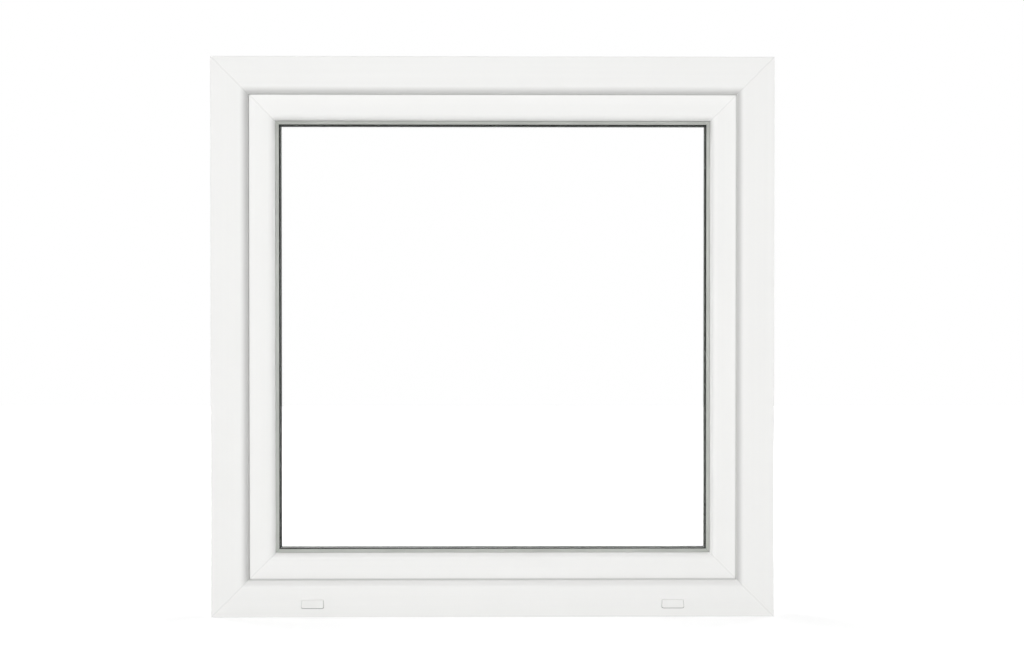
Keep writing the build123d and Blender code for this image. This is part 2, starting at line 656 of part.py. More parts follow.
def make_fittings():
    """Caps, handle and hinges."""
    keep("drain_cap_left", drain_cap(-1))
    keep("drain_cap_right", drain_cap(1))
    keep("handle_rosette", handle_rosette())
    keep("handle_lever", handle_lever())
    bearing_low = FLANGE_INSET - LOWER_BEARING_DROP
    bearing_high = FLANGE_INSET + LOWER_BEARING_RISE
    band_low = bearing_high + KNUCKLE_GAP
    band_high = band_low + LOWER_BAND_LENGTH
    keep("corner_bearing", bearing(bearing_low, bearing_high, [(bearing_low, bearing_high)]))
    keep("corner_band", band(band_low, band_high, LOWER_BAND_LEAF))
    keep("corner_pin", hinge_pin(bearing_low + PIN_START, band_high))
    stay_top = WINDOW_HEIGHT - FLANGE_INSET - STAY_FROM_TOP
    upper, middle, lower = STAY_KNUCKLES
    middle_top = stay_top - upper - KNUCKLE_GAP
    middle_low = middle_top - middle
    stay_low = middle_low - KNUCKLE_GAP - lower
    knuckles = [(stay_low, middle_low - KNUCKLE_GAP), (middle_top + KNUCKLE_GAP, stay_top)]
    keep("stay_bearing", bearing(stay_low, stay_top, knuckles))
    keep("stay_band", band(middle_low, middle_top, STAY_LEAF))
    keep("stay_pin", hinge_pin(stay_low, stay_top))


make_profiles()
keep("glass_outer_pane", glass_pane(GLASS_DEPTH))
keep("glass_inner_pane", glass_pane(INNER_PANE_DEPTH))
make_openings()
make_fittings()

os.makedirs("parts", exist_ok=True)
for part_name, part_shape in PARTS.items():
    export_step(part_shape, f"parts/{part_name}.step")
    print(part_name, round(part_shape.volume))
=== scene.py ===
import math

import bpy
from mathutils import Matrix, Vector


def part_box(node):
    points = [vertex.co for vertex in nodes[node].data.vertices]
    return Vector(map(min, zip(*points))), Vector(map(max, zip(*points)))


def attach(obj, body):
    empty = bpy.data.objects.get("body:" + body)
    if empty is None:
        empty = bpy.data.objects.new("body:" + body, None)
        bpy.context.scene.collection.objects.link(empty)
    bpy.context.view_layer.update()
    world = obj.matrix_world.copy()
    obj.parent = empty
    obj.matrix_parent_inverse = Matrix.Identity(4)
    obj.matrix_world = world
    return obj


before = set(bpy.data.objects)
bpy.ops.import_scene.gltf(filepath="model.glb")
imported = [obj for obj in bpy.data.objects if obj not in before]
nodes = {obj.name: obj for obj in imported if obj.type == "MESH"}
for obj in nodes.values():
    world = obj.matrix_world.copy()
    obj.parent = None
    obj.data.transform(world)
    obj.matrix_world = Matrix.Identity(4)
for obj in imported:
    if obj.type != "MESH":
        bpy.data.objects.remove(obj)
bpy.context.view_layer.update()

scene = bpy.context.scene
print("frame loaded,", len(nodes), "nodes")

# Whole window in metres, read from the frame's own members
sillLow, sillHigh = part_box("frame_sill")
windowSize = {
    "halfWidth": sillHigh.x,
    "height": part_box("frame_head")[1].z,
    "outdoorY": sillLow.y,
    "frameInset": sillHigh.z,                       # from the window's edge to the frame's inner edge
    "sashInset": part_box("sash_bottom_rail")[1].z,   # and to the sash's inner edge
}


def newNode(tree, kind, **settings):
    node = tree.nodes.new(kind)
    for name, value in settings.items():
        setattr(node, name, value)
    return node


def join(tree, source, target):
    tree.links.new(source, target)


# A plain number is written on the socket, an output is linked to it
def feed(tree, value, socket):
    if isinstance(value, (int, float)):
        socket.default_value = value
    else:
        join(tree, value, socket)


def mathNode(tree, operation, first, second=None):
    node = newNode(tree, "ShaderNodeMath", operation=operation)
    feed(tree, first, node.inputs[0])
    if second is not None:
        feed(tree, second, node.inputs[1])
    return node.outputs[0]


def splitVector(tree, vector):
    node = newNode(tree, "ShaderNodeSeparateXYZ")
    join(tree, vector, node.inputs[0])
    return node.outputs


def stepNode(tree, value, low, high, lowResult=0.0, highResult=1.0):
    node = newNode(tree, "ShaderNodeMapRange", interpolation_type="SMOOTHSTEP")
    join(tree, value, node.inputs["Value"])
    feed(tree, low, node.inputs["From Min"])
    feed(tree, high, node.inputs["From Max"])
    feed(tree, lowResult, node.inputs["To Min"])
    feed(tree, highResult, node.inputs["To Max"])
    return node.outputs["Result"]


def newGroup(name, inputs, outputs):
    tree = bpy.data.node_groups.new(name, "ShaderNodeTree")
    for title, kind, value in inputs:
        socket = tree.interface.new_socket(title, in_out="INPUT", socket_type=kind)
        if value is not None:
            socket.default_value = value
    for title, kind in outputs:
        tree.interface.new_socket(title, in_out="OUTPUT", socket_type=kind)
    return tree, newNode(tree, "NodeGroupInput"), newNode(tree, "NodeGroupOutput")


# Lines that the die leaves along an extruded profile: long noise, stretched to one side
def makeExtrusionGroup():
    tree, given, result = newGroup(
        "extrusionLines",
        [
            ("Position", "NodeSocketVector", None),
            ("Along", "NodeSocketVector", (1.0, 0.0, 0.0)),
            ("Fine Lines", "NodeSocketFloat", 900.0),
            ("Broad Lines", "NodeSocketFloat", 170.0),
        ],
        [("Fine", "NodeSocketFloat"), ("Broad", "NodeSocketFloat")],
    )
    keepAlong = newNode(tree, "ShaderNodeVectorMath", operation="MULTIPLY")
    join(tree, given.outputs["Position"], keepAlong.inputs[0])
    join(tree, given.outputs["Along"], keepAlong.inputs[1])
    across = newNode(tree, "ShaderNodeVectorMath", operation="SUBTRACT")
    join(tree, given.outputs["Position"], across.inputs[0])
    join(tree, keepAlong.outputs[0], across.inputs[1])
    for title, lines, drift in (("Fine", "Fine Lines", 3.0), ("Broad", "Broad Lines", 1.2)):
        wide = newNode(tree, "ShaderNodeVectorMath", operation="SCALE")
        join(tree, across.outputs[0], wide.inputs[0])
        join(tree, given.outputs[lines], wide.inputs["Scale"])
        slow = newNode(tree, "ShaderNodeVectorMath", operation="SCALE")
        join(tree, keepAlong.outputs[0], slow.inputs[0])
        slow.inputs["Scale"].default_value = drift
        place = newNode(tree, "ShaderNodeVectorMath", operation="ADD")
        join(tree, wide.outputs[0], place.inputs[0])
        join(tree, slow.outputs[0], place.inputs[1])
        noise = newNode(tree, "ShaderNodeTexNoise", noise_dimensions="3D")
        noise.inputs["Scale"].default_value = 1.0
        noise.inputs["Detail"].default_value = 2.0
        noise.inputs["Roughness"].default_value = 0.45
        join(tree, place.outputs[0], noise.inputs["Vector"])
        join(tree, noise.outputs["Fac"], result.inputs[title])
    return tree


# How far a point lies from the window's nearer side, and from its top or bottom
def measureInsets(tree, given):
    place = splitVector(tree, given.outputs["Position"])
    offCentre = mathNode(tree, "ABSOLUTE", place["X"])
    fromSide = mathNode(tree, "SUBTRACT", given.outputs["Half Width"], offCentre)
    middle = mathNode(tree, "MULTIPLY", given.outputs["Height"], 0.5)
    offMiddle = mathNode(tree, "ABSOLUTE", mathNode(tree, "SUBTRACT", place["Z"], middle))
    return fromSide, mathNode(tree, "SUBTRACT", middle, offMiddle)


# The welded mitre: a seam on the diagonal of each corner that wanders a little
def makeSeamGroup():
    tree, given, result = newGroup(
        "weldSeam",
        [
            ("Position", "NodeSocketVector", None),
            ("Half Width", "NodeSocketFloat", windowSize["halfWidth"]),
            ("Height", "NodeSocketFloat", windowSize["height"]),
            ("Line Width", "NodeSocketFloat", 0.0018),
            ("Wander", "NodeSocketFloat", 0.0028),
            ("Wander Scale", "NodeSocketFloat", 55.0),
        ],
        [("Seam", "NodeSocketFloat"), ("Edge", "NodeSocketFloat")],
    )
    fromSide, fromEnd = measureInsets(tree, given)
    offDiagonal = mathNode(tree, "MULTIPLY", mathNode(tree, "SUBTRACT", fromSide, fromEnd), math.sqrt(0.5))
    noise = newNode(tree, "ShaderNodeTexNoise", noise_dimensions="3D")
    noise.inputs["Detail"].default_value = 1.0
    join(tree, given.outputs["Wander Scale"], noise.inputs["Scale"])
    join(tree, given.outputs["Position"], noise.inputs["Vector"])
    offMean = mathNode(tree, "SUBTRACT", noise.outputs["Fac"], 0.5)
    sway = mathNode(tree, "MULTIPLY", offMean, given.outputs["Wander"])
    distance = mathNode(tree, "ABSOLUTE", mathNode(tree, "ADD", offDiagonal, sway))
    lineWidth = given.outputs["Line Width"]
    seam = stepNode(tree, distance, mathNode(tree, "MULTIPLY", lineWidth, 0.5), lineWidth, 1.0, 0.0)
    join(tree, seam, result.inputs["Seam"])
    outer = mathNode(tree, "MULTIPLY", lineWidth, 2.2)      # the light edge reaches this far
    nearby = stepNode(tree, distance, lineWidth, outer, 1.0, 0.0)
    join(tree, mathNode(tree, "SUBTRACT", nearby, seam), result.inputs["Edge"])
    return tree


# A painted shade that deepens over a width up to an edge and ends there
def paintedShadeTowards(tree, inset, edge, width):
    slopeShade = stepNode(tree, inset, mathNode(tree, "SUBTRACT", edge, width), edge)
    return mathNode(tree, "MULTIPLY", slopeShade, mathNode(tree, "LESS_THAN", inset, edge))


# Painted shade outdoors: a dark line where the sash goes under the frame, and a shade deepening down both
# sloped edges
def makePaintedShadeGroup():
    tree, given, result = newGroup(
        "outdoorDust",
        [
            ("Position", "NodeSocketVector", None),
            ("Half Width", "NodeSocketFloat", windowSize["halfWidth"]),
            ("Height", "NodeSocketFloat", windowSize["height"]),
            ("Frame Inset", "NodeSocketFloat", windowSize["frameInset"]),
            ("Sash Inset", "NodeSocketFloat", windowSize["sashInset"]),
            ("Deepest", "NodeSocketFloat", windowSize["outdoorY"] + 0.028),   # none further indoors
            ("Line Width", "NodeSocketFloat", 0.0012),
            ("Frame Film", "NodeSocketFloat", 0.014),
            ("Sash Film", "NodeSocketFloat", 0.007),
            ("Sash Share", "NodeSocketFloat", 0.4),     # the sash's painted shade beside the frame's
        ],
        [("Line", "NodeSocketFloat"), ("Film", "NodeSocketFloat")],
    )
    inset = mathNode(tree, "MINIMUM", *measureInsets(tree, given))
    depth = splitVector(tree, given.outputs["Position"])["Y"]
    outdoors = mathNode(tree, "LESS_THAN", depth, given.outputs["Deepest"])
    toJoint = mathNode(tree, "ABSOLUTE", mathNode(tree, "SUBTRACT", inset, given.outputs["Frame Inset"]))
    core = mathNode(tree, "MULTIPLY", given.outputs["Line Width"], 0.5)
    reach = mathNode(tree, "MULTIPLY", given.outputs["Line Width"], 1.5)
    # a painted shade line where the sash goes under the frame
    line = stepNode(tree, toJoint, core, reach, 1.0, 0.0)
    join(tree, mathNode(tree, "MULTIPLY", line, outdoors), result.inputs["Line"])
    # painted shade deepening down the frame's and the sash's sloped edges
    frameSlopeShade = paintedShadeTowards(tree, inset, given.outputs["Frame Inset"], given.outputs["Frame Film"])
    sashSlopeShade = paintedShadeTowards(tree, inset, given.outputs["Sash Inset"], given.outputs["Sash Film"])
    weakSashSlopeShade = mathNode(tree, "MULTIPLY", sashSlopeShade, given.outputs["Sash Share"])
    both = mathNode(tree, "MAXIMUM", frameSlopeShade, weakSashSlopeShade)
    join(tree, mathNode(tree, "MULTIPLY", both, outdoors), result.inputs["Film"])
    return tree


# Faces that look up, where light from above falls: painted shade is kept off them, and painted light is put on
# them
def makeUpwardGroup():
    tree, given, result = newGroup(
        "upwardFace",
        [("Normal", "NodeSocketVector", None)],
        [("Upward", "NodeSocketFloat")],
    )
    upward = splitVector(tree, given.outputs["Normal"])["Z"]
    join(tree, stepNode(tree, upward, 0.0, 0.7), result.inputs["Upward"])
    return tree


# Soft cloudy change of tone and gloss, as handled plastic and rubber have
def makeToneGroup():
    tree, given, result = newGroup(
        "cloudyTone",
        [
            ("Position", "NodeSocketVector", None),
            ("Patch Size", "NodeSocketFloat", 0.25),
            ("Grain Size", "NodeSocketFloat", 0.0009),
        ],
        [("Patches", "NodeSocketFloat"), ("Grain", "NodeSocketFloat")],
    )
    for title, size, detail in (("Patches", "Patch Size", 3.0), ("Grain", "Grain Size", 1.0)):
        noise = newNode(tree, "ShaderNodeTexNoise", noise_dimensions="3D")
        noise.inputs["Detail"].default_value = detail
        join(tree, given.outputs["Position"], noise.inputs["Vector"])
        join(tree, mathNode(tree, "DIVIDE", 1.0, given.outputs[size]), noise.inputs["Scale"])
        join(tree, noise.outputs["Fac"], result.inputs[title])
    return tree


extrusionGroup = makeExtrusionGroup()
seamGroup = makeSeamGroup()
paintedShadeGroup = makePaintedShadeGroup()
upwardGroup = makeUpwardGroup()
toneGroup = makeToneGroup()


# A group placed in a material, with values for its inputs: patchSize sets Patch Size
def useGroup(tree, group, position, **values):
    node = newNode(tree, "ShaderNodeGroup", node_tree=group)
    join(tree, position, node.inputs["Position"])
    for socket in node.inputs:
        key = socket.name.replace(" ", "")
        key = key[0].lower() + key[1:]
        if key in values:
            socket.default_value = values[key]
    return node


def upwardMask(tree):
    place = newNode(tree, "ShaderNodeTexCoord")
    node = newNode(tree, "ShaderNodeGroup", node_tree=upwardGroup)
    join(tree, place.outputs["Normal"], node.inputs["Normal"])
    return node.outputs["Upward"]


def blendColor(tree, factor, first, second):
    node = newNode(tree, "ShaderNodeMix", data_type="RGBA")
    join(tree, factor, node.inputs[0])
    for socket, value in ((node.inputs[6], first), (node.inputs[7], second)):   # colours A and B
        if isinstance(value, tuple):
            socket.default_value = (*value, 1.0)
        else:
            join(tree, value, socket)
    return node.outputs[2]


def shade(color, amount):
    return tuple(channel * amount for channel in color)


def startMaterial(name):
    material = bpy.data.materials.new(name)
    material.use_nodes = True
    tree = material.node_tree
    shader = tree.nodes["Principled BSDF"]
    place = newNode(tree, "ShaderNodeTexCoord")
    return material, tree, shader, place.outputs["Object"]


def bump(tree, shader, height, strength, distance):
    node = newNode(tree, "ShaderNodeBump")
    node.inputs["Strength"].default_value = strength
    node.inputs["Distance"].default_value = distance
    join(tree, height, node.inputs["Height"])
    join(tree, node.outputs["Normal"], shader.inputs["Normal"])


# White window profile, its lines along one axis
profileLook = {
    "color": (0.858, 0.858, 0.845),
    "tone": 0.018,          # how far broad lines and patches change the tone
    "roughness": (0.46, 0.54),
    "sheen": 0.35,
    "seamShade": 0.95,      # the weld seam
    "edgeShade": 1.02,      # and the thin light edge on both sides of it
    "lineShade": 0.8,       # painted shade in the joint between frame and sash
    "filmShade": 0.7,       # painted shade on the sloped edges, where it is darkest
    "seamDepth": 0.0001,
    "seamWeight": 3.0,      # seam, die lines and grain in the relief
    "lineWeight": 0.25,
    "grainWeight": 0.12,
}


def makeProfileMaterial(name, along):
    material, tree, shader, position = startMaterial(name)
    lines = useGroup(tree, extrusionGroup, position, along=along)
    seam = useGroup(tree, seamGroup, position)
    paintedShade = useGroup(tree, paintedShadeGroup, position)
    tone = useGroup(tree, toneGroup, position)
    color = profileLook["color"]
    spread = profileLook["tone"]
    streaks = blendColor(tree, lines.outputs["Broad"], shade(color, 1 - spread), shade(color, 1 + spread))
    patchMask = stepNode(tree, tone.outputs["Patches"], 0.35, 0.7, 0.0, 0.5)
    patched = blendColor(tree, patchMask, streaks, shade(color, 1 - spread))
    edged = blendColor(tree, seam.outputs["Edge"], patched, shade(color, profileLook["edgeShade"]))
    seamed = blendColor(tree, seam.outputs["Seam"], edged, shade(color, profileLook["seamShade"]))
    # painted shade down the sloped edges, kept off faces that look up, and a painted shade line in the joint
    notUpward = mathNode(tree, "SUBTRACT", 1.0, upwardMask(tree))
    slopeShade = mathNode(tree, "MULTIPLY", paintedShade.outputs["Film"], notUpward)
    slopeShaded = blendColor(tree, slopeShade, seamed, shade(color, profileLook["filmShade"]))
    lined = blendColor(tree, paintedShade.outputs["Line"], slopeShaded, shade(color, profileLook["lineShade"]))
    join(tree, lined, shader.inputs["Base Color"])
    low, high = profileLook["roughness"]
    join(tree, stepNode(tree, lines.outputs["Fine"], 0.3, 0.7, low, high), shader.inputs["Roughness"])
    grain = mathNode(tree, "MULTIPLY", tone.outputs["Grain"], profileLook["grainWeight"])
    drawn = mathNode(tree, "MULTIPLY", lines.outputs["Fine"], profileLook["lineWeight"])
    sunk = mathNode(tree, "MULTIPLY", seam.outputs["Seam"], profileLook["seamWeight"])
    height = mathNode(tree, "SUBTRACT", mathNode(tree, "ADD", drawn, grain), sunk)
    bump(tree, shader, height, 0.5, profileLook["seamDepth"] / profileLook["seamWeight"])
    shader.inputs["Specular IOR Level"].default_value = profileLook["sheen"]
    return material


profileAcross = makeProfileMaterial("profileAcross", (1.0, 0.0, 0.0))
profileUpright = makeProfileMaterial("profileUpright", (0.0, 0.0, 1.0))

# Plain moulded or painted pieces: fine grain, cloudy tone.
# The rim is a painted shade on edges that turn away from the front; at 1 there is none.
mouldedLooks = {
    "capPlastic": {
        "color": (0.86, 0.86, 0.845),
        "tone": 0.025,
        "roughness": (0.52, 0.62),
        "sheen": 0.3,
        "rim": 0.3,
        "grain": 0.0007,
        "depth": 0.00004,
        "metallic": 0.0,
    },
    "handlePaint": {
        "color": (0.86, 0.865, 0.85),
        "tone": 0.025,
        "roughness": (0.22, 0.32),
        "sheen": 0.5,
        "rim": 1.0,
        "grain": 0.0016,
        "depth": 0.00003,
        "metallic": 0.0,
    },
    "hingePlastic": {
        "color": (0.84, 0.845, 0.83),
        "tone": 0.025,
        "roughness": (0.32, 0.42),
        "sheen": 0.5,
        "rim": 1.0,
        "grain": 0.0008,
        "depth": 0.00003,
        "metallic": 0.0,
    },
    "pinSteel": {
        "color": (0.56, 0.57, 0.58),
        "tone": 0.025,
        "roughness": (0.18, 0.38),
        "sheen": 0.5,
        "rim": 1.0,
        "grain": 0.0005,
        "depth": 0.00002,
        "metallic": 1.0,
    },
}


# Edges that turn away from the front, the lower ones most: the mask of a painted shade
def lowerRim(tree):
    place = newNode(tree, "ShaderNodeTexCoord")
    facing = splitVector(tree, place.outputs["Normal"])
    turnedAway = stepNode(tree, mathNode(tree, "ABSOLUTE", facing["Y"]), 0.75, 0.95, 1.0, 0.0)
    downward = stepNode(tree, facing["Z"], -0.6, 0.6, 1.0, 0.0)
    return mathNode(tree, "MULTIPLY", turnedAway, downward)


def makeMouldedMaterial(name, look):
    material, tree, shader, position = startMaterial(name)
    tone = useGroup(tree, toneGroup, position, patchSize=0.03, grainSize=look["grain"])
    color = look["color"]
    patches = stepNode(tree, tone.outputs["Patches"], 0.3, 0.7)
    cloudy = blendColor(tree, patches, shade(color, 1 - look["tone"]), color)
    # painted shade on the edges that turn away from the front
    if look["rim"] < 1:
        cloudy = blendColor(tree, lowerRim(tree), cloudy, shade(color, look["rim"]))
    join(tree, cloudy, shader.inputs["Base Color"])
    low, high = look["roughness"]
    join(tree, stepNode(tree, tone.outputs["Grain"], 0.3, 0.7, low, high), shader.inputs["Roughness"])
    bump(tree, shader, tone.outputs["Grain"], 0.5, look["depth"])
    shader.inputs["Metallic"].default_value = look["metallic"]
    shader.inputs["Specular IOR Level"].default_value = look["sheen"]
    return material


moulded = {name: makeMouldedMaterial(name, look) for name, look in mouldedLooks.items()}

# Soft grey seal
sealLook = {
    "color": (0.49, 0.505, 0.475),
    "tone": 0.05,
    "roughness": (0.55, 0.75),
    "seamShade": 0.8,
}


def makeSealMaterial():
    material, tree, shader, position = startMaterial("sealRubber")
    tone = useGroup(tree, toneGroup, position, patchSize=0.06, grainSize=0.0006)
    seam = useGroup(tree, seamGroup, position, lineWidth=0.0006, wander=0.0003)
    color = sealLook["color"]
    spread = sealLook["tone"]
    patches = stepNode(tree, tone.outputs["Patches"], 0.3, 0.7)
    worn = blendColor(tree, patches, shade(color, 1 - spread), shade(color, 1 + spread))
    seamed = blendColor(tree, seam.outputs["Seam"], worn, shade(color, sealLook["seamShade"]))
    join(tree, seamed, shader.inputs["Base Color"])
    low, high = sealLook["roughness"]
    join(tree, stepNode(tree, tone.outputs["Grain"], 0.3, 0.7, low, high), shader.inputs["Roughness"])
    bump(tree, shader, tone.outputs["Grain"], 0.6, 0.00005)
    return material


# Dark spacer bar between the panes, rolled lengthwise
spacerLook = {
    "color": (0.022, 0.026, 0.022),
    "rolledShades": (0.8, 1.25),            # darkest and lightest of the rolled lines
    "upwardColor": (0.115, 0.119, 0.113),   # the lower length catches light from above
    "roughness": (0.75, 0.85),
    "sheen": 0.1,
}


def makeSpacerMaterial(name, along):
    material, tree, shader, position = startMaterial(name)
    lines = useGroup(tree, extrusionGroup, position, along=along, fineLines=1500.0, broadLines=400.0)
    tone = useGroup(tree, toneGroup, position, patchSize=0.05, grainSize=0.0005)
    color = spacerLook["color"]
    dark, light = (shade(color, amount) for amount in spacerLook["rolledShades"])
    rolled = blendColor(tree, lines.outputs["Broad"], dark, light)
    lit = blendColor(tree, upwardMask(tree), rolled, spacerLook["upwardColor"])
    join(tree, lit, shader.inputs["Base Color"])
    low, high = spacerLook["roughness"]
    join(tree, stepNode(tree, tone.outputs["Grain"], 0.3, 0.7, low, high), shader.inputs["Roughness"])
    bump(tree, shader, lines.outputs["Fine"], 0.5, 0.00004)
    shader.inputs["Specular IOR Level"].default_value = spacerLook["sheen"]
    return material


# Clear glass; lamps reach what stands behind it
glassLook = {
    "color": (0.9995, 1.0, 0.9998),
    "tone": 0.0005,
    "ior": 1.28,
}


def makeGlassMaterial():
    material, tree, shader, position = startMaterial("paneGlass")
    tone = useGroup(tree, toneGroup, position, patchSize=0.4, grainSize=0.003)
    color = glassLook["color"]
    tinted = blendColor(tree, tone.outputs["Patches"], color, shade(color, 1 - glassLook["tone"]))
    join(tree, tinted, shader.inputs["Base Color"])
    shader.inputs["Roughness"].default_value = 0.0
    shader.inputs["IOR"].default_value = glassLook["ior"]
    shader.inputs["Transmission Weight"].default_value = 1.0
    clear = newNode(tree, "ShaderNodeBsdfTransparent")
    rays = newNode(tree, "ShaderNodeLightPath")
    choice = newNode(tree, "ShaderNodeMixShader")
    join(tree, rays.outputs["Is Shadow Ray"], choice.inputs[0])
    join(tree, shader.outputs[0], choice.inputs[1])
    join(tree, clear.outputs[0], choice.inputs[2])
    join(tree, choice.outputs[0], tree.nodes["Material Output"].inputs["Surface"])
    return material


sealRubber = makeSealMaterial()
spacerAcross = makeSpacerMaterial("spacerAcross", (1.0, 0.0, 0.0))
spacerUpright = makeSpacerMaterial("spacerUpright", (0.0, 0.0, 1.0))
paneGlass = makeGlassMaterial()
print("materials made")


# Finish of every CAD node, by the start of its name
def finishFor(name):
    upright = "jamb" in name or "stile" in name or name.endswith(("_left", "_right"))
    if name.startswith(("frame_seal", "sash_seal", "glazing_seal", "bead_seal")):
        return sealRubber
    if name.startswith(("frame_", "sash_", "glazing_bead")):
        return profileUpright if upright else profileAcross
    if name.startswith("glass_spacer"):
        return spacerUpright if upright else spacerAcross
    if name.startswith("glass_"):
        return paneGlass
    if name.startswith("drain_cap"):
        return moulded["capPlastic"]
    if name.startswith("handle_"):
        return moulded["handlePaint"]
    if name.endswith("_pin"):
        return moulded["pinSteel"]
    return moulded["hingePlastic"]


for name, node in nodes.items():
    finish = finishFor(name)
    if not node.data.materials:
        node.data.materials.append(finish)
    for index in range(len(node.data.materials)):
        node.data.materials[index] = finish
print("finishes given")


# Small repeated parts grow from geometry trees and end as plain meshes
def newGeometryTree(name, inputs):
    tree = bpy.data.node_groups.new(name, "GeometryNodeTree")
    for title, kind, value in inputs:
        socket = tree.interface.new_socket(title, in_out="INPUT", socket_type=kind)
        if value is not None:
            socket.default_value = value
    tree.interface.new_socket("Result", in_out="OUTPUT", socket_type="NodeSocketGeometry")
    return tree, newNode(tree, "NodeGroupInput"), newNode(tree, "NodeGroupOutput")


def finishTree(tree, grown, material, result):
    real = newNode(tree, "GeometryNodeRealizeInstances")
    join(tree, grown, real.inputs[0])
    painted = newNode(tree, "GeometryNodeSetMaterial")
    join(tree, real.outputs[0], painted.inputs["Geometry"])
    painted.inputs["Material"].default_value = material
    join(tree, painted.outputs[0], result.inputs[0])


def growPiece(name, tree, values, points=()):
    start = bpy.data.meshes.new(name + "Start")
    start.from_pydata(list(points), [], [])
    piece = bpy.data.objects.new(name, start)
    scene.collection.objects.link(piece)
    modifier = piece.modifiers.new("grow", "NODES")
    modifier.node_group = tree
    for item in tree.interface.items_tree:
        if item.in_out == "INPUT" and item.name in values:
            modifier[item.identifier] = values[item.name]
    graph = bpy.context.evaluated_depsgraph_get()
    made = bpy.data.meshes.new_from_object(piece.evaluated_get(graph), depsgraph=graph)
    piece.modifiers.remove(modifier)
    piece.data = made
    bpy.data.meshes.remove(start)
    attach(piece, "root")
    return piece


# Raised screw heads with a cross recess, on the free parts of the hinge leaves.
# The leaf's thickness and the knuckle's radius are those of the hinges.
screwLook = {
    "headDiameter": 0.0068,
    "headHeight": 0.0012,
    "topShare": 0.62,       # width of the flat top, as a share of the head
    "recessLength": 0.0036,
    "recessWidth": 0.0009,
    "recessDepth": 0.0008,
    "sunk": 0.0001,         # how far a head goes into its leaf
    "sides": 24,
    "seed": 7,
    "endMargin": 0.1,       # free at both ends of a leaf, as a share of its height
    "leafThickness": 0.0035,
    "knuckleRadius": 0.0075,
    "perLeaf": {"corner_bearing": 2, "stay_bearing": 3, "corner_band": 2, "stay_band": 1},
}


def makeScrewTree():
    tree, given, result = newGeometryTree(
        "hingeScrewTree",
        [
            ("Places", "NodeSocketGeometry", None),
            ("Head Diameter", "NodeSocketFloat", 0.007),
            ("Head Height", "NodeSocketFloat", 0.001),
            ("Top Share", "NodeSocketFloat", 0.6),
            ("Recess Length", "NodeSocketFloat", 0.004),
            ("Recess Width", "NodeSocketFloat", 0.001),
            ("Recess Depth", "NodeSocketFloat", 0.001),
            ("Seed", "NodeSocketInt", 0),
        ],
    )
    radius = mathNode(tree, "MULTIPLY", given.outputs["Head Diameter"], 0.5)
    head = newNode(tree, "GeometryNodeMeshCone")
    head.inputs["Vertices"].default_value = screwLook["sides"]
    join(tree, radius, head.inputs["Radius Bottom"])
    join(tree, mathNode(tree, "MULTIPLY", radius, given.outputs["Top Share"]), head.inputs["Radius Top"])
    join(tree, given.outputs["Head Height"], head.inputs["Depth"])
    top = newNode(tree, "ShaderNodeCombineXYZ")
    join(tree, given.outputs["Head Height"], top.inputs["Z"])
    cut = newNode(tree, "GeometryNodeMeshBoolean", operation="DIFFERENCE")
    join(tree, head.outputs["Mesh"], cut.inputs["Mesh 1"])
    for across, along in (("Recess Length", "Recess Width"), ("Recess Width", "Recess Length")):
        size = newNode(tree, "ShaderNodeCombineXYZ")
        join(tree, given.outputs[across], size.inputs["X"])
        join(tree, given.outputs[along], size.inputs["Y"])
        join(tree, mathNode(tree, "MULTIPLY", given.outputs["Recess Depth"], 2.0), size.inputs["Z"])
        bar = newNode(tree, "GeometryNodeMeshCube")
        join(tree, size.outputs[0], bar.inputs["Size"])
        raised = newNode(tree, "GeometryNodeTransform")
        join(tree, bar.outputs["Mesh"], raised.inputs["Geometry"])
        join(tree, top.outputs[0], raised.inputs["Translation"])
        join(tree, raised.outputs[0], cut.inputs["Mesh 2"])
    facing = newNode(tree, "GeometryNodeTransform")
    facing.inputs["Rotation"].default_value = (math.radians(-90.0), 0.0, 0.0)
    join(tree, cut.outputs["Mesh"], facing.inputs["Geometry"])
    chance = newNode(tree, "FunctionNodeRandomValue", data_type="FLOAT")
    chance.inputs[3].default_value = math.radians(90.0)
    join(tree, given.outputs["Seed"], chance.inputs["Seed"])
    spin = newNode(tree, "ShaderNodeCombineXYZ")
    join(tree, chance.outputs[1], spin.inputs["Y"])
    copies = newNode(tree, "GeometryNodeInstanceOnPoints")
    join(tree, given.outputs["Places"], copies.inputs["Points"])
    join(tree, facing.outputs[0], copies.inputs["Instance"])
    join(tree, spin.outputs[0], copies.inputs["Rotation"])
    finishTree(tree, copies.outputs[0], moulded["pinSteel"], result)
    return tree


def screwPlaces():
    pinLow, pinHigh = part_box("corner_pin")
    pinX = (pinLow.x + pinHigh.x) / 2
    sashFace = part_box("sash_stile_right")[1].y
    margin = screwLook["endMargin"]
    places = []
    for name, count in screwLook["perLeaf"].items():
        low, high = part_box(name)
        onSash = name.endswith("band")
        edge = low.x if onSash else high.x
        knuckleEdge = pinX - screwLook["knuckleRadius"] if onSash else pinX + screwLook["knuckleRadius"]
        surface = (sashFace if onSash else low.y) + screwLook["leafThickness"] - screwLook["sunk"]
        for index in range(count):
            share = margin + (1 - 2 * margin) * (index + 0.5) / count
            places.append(((edge + knuckleEdge) / 2, surface, low.z + (high.z - low.z) * share))
    return places


hingeScrews = growPiece(
    "hinge_screws",
    makeScrewTree(),
    {
        "Head Diameter": screwLook["headDiameter"],
        "Head Height": screwLook["headHeight"],
        "Top Share": screwLook["topShare"],
        "Recess Length": screwLook["recessLength"],
        "Recess Width": screwLook["recessWidth"],
        "Recess Depth": screwLook["recessDepth"],
        "Seed": screwLook["seed"],
    },
    screwPlaces(),
)
print("hinge screws made,", len(hingeScrews.data.polygons), "faces")

# Breathing holes in two rows along the spacer bar's face towards the cavity
holeLook = {
    "colors": ((0.004, 0.004, 0.004), (0.01, 0.01, 0.01)),
    "diameter": 0.001,
    "sides": 8,
    "height": 0.0001,       # a dark disc of painted shade where the hole is, half of it proud of the bar
    "pitch": 0.006,
    "rowGap": 0.005,
    "cornerGap": 0.012,
}


